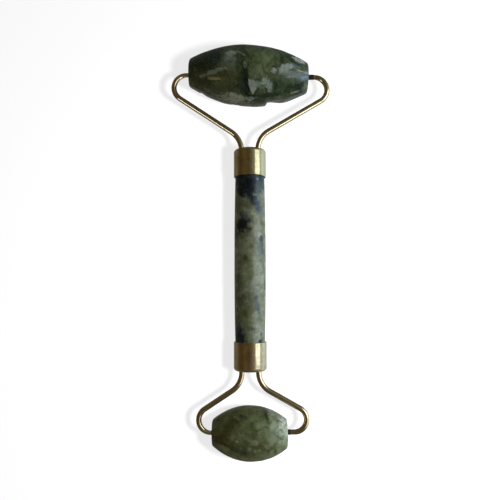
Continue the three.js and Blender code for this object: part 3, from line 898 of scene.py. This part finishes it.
HANDLE_MARKS = [
    # The dark blotch under the large cap and the vein that leaves it, with a painted highlight beside it.
    ("navy", 23.0, -8, 4.8, 7.2, 0.35, 1.0),
    ("navy", 23.8, 54, 3.2, 3.4, 0.5, 1.0),
    ("navy", 23.6, -56, 3.0, 3.0, 0.5, 1.0),
    ("navy", 19.2, -6, 2.6, 3.4, 0.5, 1.0, -30),
    ("navy", 19.4, -38, 2.0, 2.2, 0.4, 1.0),
    ("ink", 22.2, -14, 3.4, 3.2, 0.5, 1.0),
    ("ink", 20.4, 8, 3.2, 2.0, 0.5, 1.0, -20),
    ("slate", 21.6, 34, 2.6, 0.9, 0.7, 0.5, -12),
    ("slate", 20.0, 46, 2.0, 1.2, 0.7, 0.5),
    # Painted highlight: a small pale spot that stands in for a glint of light on the polish.
    ("mist", 23.5, 31, 0.35, 0.4, 0.5, 0.7),
    ("steel", 24.2, 8, 0.5, 1.6, 0.6, 0.4),
    ("steel", 22.6, -30, 0.8, 0.5, 0.6, 0.4, 30),
    ("navy", 16.4, 12, 3.3, 1.1, 0.45, 1.0, -38),
    ("slate", 17.4, 34, 3.2, 1.3, 0.7, 0.7, -12),
    ("ink", 15.2, 16, 1.8, 1.2, 0.6, 0.85, -20),
    ("steel", 13.6, 30, 2.2, 1.3, 0.6, 0.9, -15),
    ("fog", 12.0, 44, 1.6, 1.0, 0.6, 0.75),
    # The blotch on the left.
    ("steel", 8.0, -27, 2.6, 2.3, 0.5, 0.85),
    ("ink", 7.1, -30, 2.5, 2.6, 0.4, 1.0),
    ("navy", 6.2, -10, 1.3, 1.3, 0.6, 0.8, 20),
    ("slate", 10.6, -16, 1.5, 1.1, 0.7, 0.7),
    ("steel", 4.6, -62, 1.6, 1.2, 0.5, 0.85),
    # Small blue-grey spots down the right.
    ("steel", 2.8, 48, 1.0, 1.0, 0.6, 0.95),
    ("slate", -1.0, 45, 2.6, 1.4, 0.9, 0.65),
    ("steel", -0.8, 54, 2.0, 0.6, 0.8, 0.5),
    ("fern", -3.8, -18, 0.9, 0.7, 0.6, 0.9),
    ("navy", -14.0, 72, 2.6, 0.8, 0.5, 0.9),
    ("steel", -17.4, 22, 0.9, 0.8, 0.6, 0.85),
    ("slate", -20.0, 29, 2.8, 0.9, 0.8, 0.85, -17),
    ("fern", -22.6, -18, 1.3, 1.0, 0.7, 0.6),
    # The foot of the handle.
    ("steel", -28.5, -46, 2.6, 1.7, 0.6, 0.9),
    ("navy", -31.2, -38, 2.0, 2.3, 0.5, 0.95),
    ("ink", -31.8, -62, 2.0, 1.6, 0.5, 0.95),
    ("steel", -29.6, 46, 0.5, 0.5, 0.6, 0.7),
    ("navy", -32.2, 44, 0.6, 0.9, 0.6, 0.95),
    ("fern", -28.2, 8, 0.3, 2.0, 0.6, 0.6, -12),
]
HANDLE_PALETTE = {
    "dark": (112, 118, 90), "mid": (138, 146, 118), "warm": (124, 128, 92), "seam": (84, 92, 64),
    "blot": (26, 42, 50), "fleck": (156, 164, 144), "pale": (174, 182, 162), "moss": (82, 90, 52),
}


def roller_space(axle, tilt, radius):
    return {"origin": axle, "turn": (0, 0, tilt), "along": "X", "side": "Y", "radius": radius}


HANDLE_SPACE = {
    "origin": (0, 0, AXIS_HEIGHT), "turn": (SLOPE, 0, 0), "along": "Y", "side": "X", "radius": 5.4,
}


# -------- studio


PANEL_DISTANCE = 0.6
FLOOR_HALF = 3.0
# The floor's own light: its strength under the object and away from it, and where it changes.
GLOW_NEAR, GLOW_FAR = 0.79, 1.0
GLOW_START, GLOW_END = 0.13, 0.3


def make_floor():
    """A pale floor that stays white from every side and shows only the key light's shadow."""
    mesh = bpy.data.meshes.new("floor")
    corners = [(x * FLOOR_HALF, y * FLOOR_HALF, 0) for x, y in ((-1, -1), (1, -1), (1, 1), (-1, 1))]
    mesh.from_pydata(corners, [], [(0, 1, 2, 3)])
    floor = add_to_scene("floor", mesh)
    floor.visible_glossy = False
    floor.visible_diffuse = False
    shader = Shader("floor_white")
    away = shader.measure("LENGTH", shader.place)
    glow = shader.ramp(away, GLOW_START, GLOW_END, GLOW_NEAR, GLOW_FAR)
    shader.set(Base_Color=(0.05, 0.05, 0.05, 1), Roughness=1.0, Specular_IOR_Level=0.0,
               Emission_Color=(1, 1, 1, 1), Emission_Strength=glow)
    mesh.materials.append(shader.material)
    return floor


def only_on(*objects):
    """A collection for light linking, of the objects that a light acts on."""
    receivers = bpy.data.collections.new("lit_" + objects[0].name)
    for lit in objects:
        receivers.objects.link(lit)
    return receivers


def make_key(floor):
    """A small lamp beside the camera. It lights only the floor, for the object's soft shadow."""
    data = bpy.data.lights.new("key", "POINT")
    data.shadow_soft_size = 0.017
    data.energy = 13.0
    key = add_to_scene("key", data)
    key.location = (0.077, -0.03, 0.19)
    key.visible_glossy = False
    key.visible_camera = False
    key.light_linking.receiver_collection = only_on(floor)


def add_panel(name, location, target, across, up, radiance, tint):
    """A light that fills a rectangle. across is its level side, and up is its other side."""
    data = bpy.data.lights.new(name, "AREA")
    data.shape = "RECTANGLE"
    data.size, data.size_y = across, up
    data.energy = radiance * math.pi * across * up
    data.color = tint
    panel = add_to_scene(name, data)
    panel.location = location
    panel.rotation_euler = (Vector(target) - Vector(location)).to_track_quat("-Z", "Y").to_euler()
    panel.visible_camera = False
    return panel


def add_right_panel(name, middle, y, across, up, radiance, tint):
    """A panel on the right that faces the roller, its middle so many degrees from straight up."""
    middle = math.radians(middle)
    location = (PANEL_DISTANCE * math.sin(middle), y, PANEL_DISTANCE * math.cos(middle))
    return add_panel(name, location, (0, y, 0), across, up, radiance, tint)


def panel_side(half_angle):
    """The side of a panel that covers half_angle degrees on each side of its middle."""
    return 2 * PANEL_DISTANCE * math.tan(math.radians(half_angle))


# Radiance of the room round the object: degrees from straight up, towards +X, and a colour.
# A warm dim interior lies on the left and overhead, and daylight comes in from the right.
ROOM = [
    (-180, (0.30, 0.28, 0.26)), (-135, (0.16, 0.15, 0.13)), (-106, (0.17, 0.15, 0.12)),
    (-85, (0.078, 0.064, 0.036)), (-67, (0.062, 0.042, 0.022)), (-35, (0.110, 0.078, 0.036)),
    (-6, (0.072, 0.058, 0.036)), (8, (0.125, 0.110, 0.080)), (22, (0.200, 0.180, 0.145)),
    (34, (0.30, 0.30, 0.28)), (82, (0.50, 0.60, 0.70)), (100, (0.74, 0.90, 1.05)),
    (135, (0.60, 0.72, 0.85)), (180, (0.30, 0.28, 0.26)),
]
# The same for the room's two ends, towards +Y and -Y, and how far towards them it takes over.
ROOM_ENDS = (0.10, 0.098, 0.092)
ENDS_START, ENDS_FULL = 0.35, 0.8


def make_room():
    """A dim room with a dark ceiling for reflections. The camera itself sees plain white."""
    world = bpy.data.worlds.new("room")
    scene.world = world
    world.use_nodes = True
    room = Nodes(world.node_tree)
    room.tree.nodes.clear()
    split = room.add("SeparateXYZ", {0: room.add("TexCoord").outputs["Generated"]}).outputs
    angle = room.math("ARCTAN2", split["X"], split["Z"])
    share = room.add("MapRange", {"Value": angle, "From Min": -math.pi, "From Max": math.pi})
    walls = room.add("ValToRGB", {0: share.outputs[0]})
    stops = walls.color_ramp.elements
    while len(stops) > 1:
        stops.remove(stops[-1])
    stops[0].position, stops[0].color = 0, ROOM[0][1] + (1,)
    for degrees, tint in ROOM[1:]:
        stops.new((degrees + 180) / 360).color = tint + (1,)
    fade = room.ramp(room.math("ABSOLUTE", split["Y"]), ENDS_START, ENDS_FULL)
    dusk = room.mix(fade, walls.outputs[0], ROOM_ENDS + (1,))
    dim = room.add("Background", {0: dusk}).outputs[0]
    white = room.add("Background", {0: (1, 1, 1, 1)}).outputs[0]
    camera_ray = room.add("LightPath").outputs["Is Camera Ray"]
    chosen = room.add("MixShader", {0: camera_ray, 1: dim, 2: white}).outputs[0]
    room.add("OutputWorld", {0: chosen})


def make_window():
    """Daylight from a window on the right, with a longer reflector there that shows in no polish."""
    across = panel_side(16.5)
    add_right_panel("window", 55, 0.042, across, 0.38, 1.5, (0.85, 1.0, 1.22))
    reflector = add_right_panel("reflector", 55, 0.0, across, 0.8, 2.0, (0.98, 0.98, 0.96))
    reflector.visible_glossy = False


def make_bounce():
    """Light that the pale floor throws back up on the undersides, too soft to show in any polish."""
    side, height = 1.2, 0.0003
    bounce = add_panel("bounce", (0, 0, height), (0, 0, 1), side, side, 0.24, (1.0, 0.98, 0.94))
    bounce.visible_glossy = False


def make_wire_lights(large_wire, small_wire):
    """Panels that only the fork wires show, as the bright lines along their legs, bends and arms."""
    both = only_on(large_wire, small_wire)
    for name, middle, half_angle in (("wire_window_high", 43, 4.5), ("wire_window", 63, 9)):
        up = panel_side(half_angle)
        panel = add_right_panel(name, middle, -0.1, 0.76, up, 1.8, (0.95, 1.0, 1.08))
        panel.light_linking.receiver_collection = both
    only_large = only_on(large_wire)
    side = 0.17
    for name, towards, radiance in (
        ("glint_left", (-0.67, -0.57, 0.47), 3.2),
        ("glint_right", (0.60, -0.65, 0.42), 3.8),
    ):
        location = LARGE_AXLE + Vector(towards).normalized() * PANEL_DISTANCE
        glint = add_panel(name, location, LARGE_AXLE, side, side, radiance, (0.92, 1.0, 1.15))
        glint.light_linking.receiver_collection = only_large


def make_camera():
    """A close camera above the roller, a little nearer the small end, looking down."""
    distance, lean, roll, target_y = 0.180, math.radians(4.5), math.radians(-0.13), -0.0009
    target = Vector((0, target_y, AXIS_HEIGHT + target_y * math.tan(SLOPE)))
    data = bpy.data.cameras.new("camera")
    data.sensor_width = 36
    data.lens = 37
    data.clip_start = 0.01
    camera = add_to_scene("camera", data)
    turn = Matrix.Rotation(lean + SLOPE, 4, "X") @ Matrix.Rotation(roll, 4, "Z")
    camera.matrix_world = Matrix.Translation(target) @ turn @ Matrix.Translation((0, 0, distance))
    scene.camera = camera


# -------- assembly


def use_material(piece, material):
    piece.data.materials.clear()
    piece.data.materials.append(material)


def finish_piece(piece, material, body, node):
    use_material(piece, material)
    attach(piece, body)
    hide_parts(node)


make_camera()
make_room()
make_window()
make_bounce()
make_key(make_floor())

large_tilt, small_tilt = LARGE_END["axle_tilt"], SMALL_END["axle_tilt"]
dark_look = {
    "waver": 1.6, "cell": 3.0, "cells": 0.1, "grain": 0.13, "blotch": 0.1, "bend": 7.0, "crack": 0.62,
    "crack_width": 0.11, "seam": 0.6, "fleck": 0.2, "blots": 0.8, "shards": 0.7, "fray": 0.5, "drift": 0.34,
    "pale": 0.3, "moss": 0.55, "feather": 0.8, "ripple": 0.03, "rough": 0.22, "ior": 1.6,
}
light_look = {
    "waver": 1.4, "cell": 3.0, "cells": 0.04, "grain": 0.12, "blotch": 0.1, "bend": 8.0, "crack": 0.5,
    "crack_width": 0.10, "seam": 0.4, "fleck": 0.25, "blots": 0.6, "shards": 0.3, "fray": 0.7, "drift": 0.4,
    "pale": 0.5, "moss": 0.65, "feather": 0.7, "ripple": 0.02, "rough": 0.42, "ior": 1.5,
}
handle_look = {
    "waver": 1.2, "cell": 2.6, "cells": 0.05, "grain": 0.18, "blotch": 0.16, "bend": 6.0, "crack": 0.3,
    "crack_width": 0.06, "seam": 0.3, "fleck": 0.15, "blots": 0.9, "shards": 0.2, "fray": 0.6, "drift": 0.42,
    "pale": 0.6, "moss": 0.55, "feather": 0.55, "ripple": 0.02, "rough": 0.36, "ior": 1.5,
}
dark_jade = jade("dark_jade", LARGE_TONES, LARGE_PALETTE, LARGE_REGIONS, LARGE_MARKS,
                 roller_space(LARGE_AXLE, large_tilt, 10), dark_look)
light_jade = jade("light_jade", SMALL_TONES, SMALL_PALETTE, SMALL_REGIONS, SMALL_MARKS,
                  roller_space(SMALL_AXLE, small_tilt, 9), light_look)
handle_jade = jade("handle_jade", HANDLE_TONES, HANDLE_PALETTE, HANDLE_REGIONS, HANDLE_MARKS,
                   HANDLE_SPACE, handle_look)
drawn = (1.0, 0.12, 1.0)
cap_brasses = {
    "large": brass("large_cap_brass", (225, 212, 167), (190, 174, 122), 0.11, 0.012, drawn),
    "small": brass("small_cap_brass", (228, 211, 172), (196, 170, 124), 0.11, 0.012, drawn),
}
wire_brass = brass("wire_brass", (222, 204, 164), (200, 176, 130), 0.07, 0.002, (1.0, 1.0, 1.0))
sleeve_black = plastic("sleeve_black", (34, 33, 33), (52, 50, 49), 0.5)
epoxy = plastic("epoxy_amber", (196, 186, 156), (214, 206, 182), 0.35)

finish_piece(make_handle(), handle_jade, "handle_frame", "handle")
wires = []
for end in (LARGE_END, SMALL_END):
    size = end["name"]
    finish_piece(make_cap(end), cap_brasses[size], "handle_frame", f"{size}_end_cap")
    wires.append(make_fork(end))
    finish_piece(wires[-1], wire_brass, "handle_frame", f"{size}_fork")
    for side in ("left", "right"):
        bush = make_sleeve(end, end[side], side)
        finish_piece(bush, sleeve_black, "handle_frame", f"{size}_{side}_sleeve")
    use_material(frame["nodes"][f"{size}_cap_adhesive"], epoxy)
make_wire_lights(*wires)
finish_piece(make_roller("large_stone", LARGE_STONE, LARGE_AXLE, large_tilt), dark_jade,
             "large_roller", "large_roller_stone")
finish_piece(make_roller("small_stone", SMALL_STONE, SMALL_AXLE, small_tilt), light_jade,
             "small_roller", "small_roller_stone")

scene.view_settings.view_transform = "Standard"
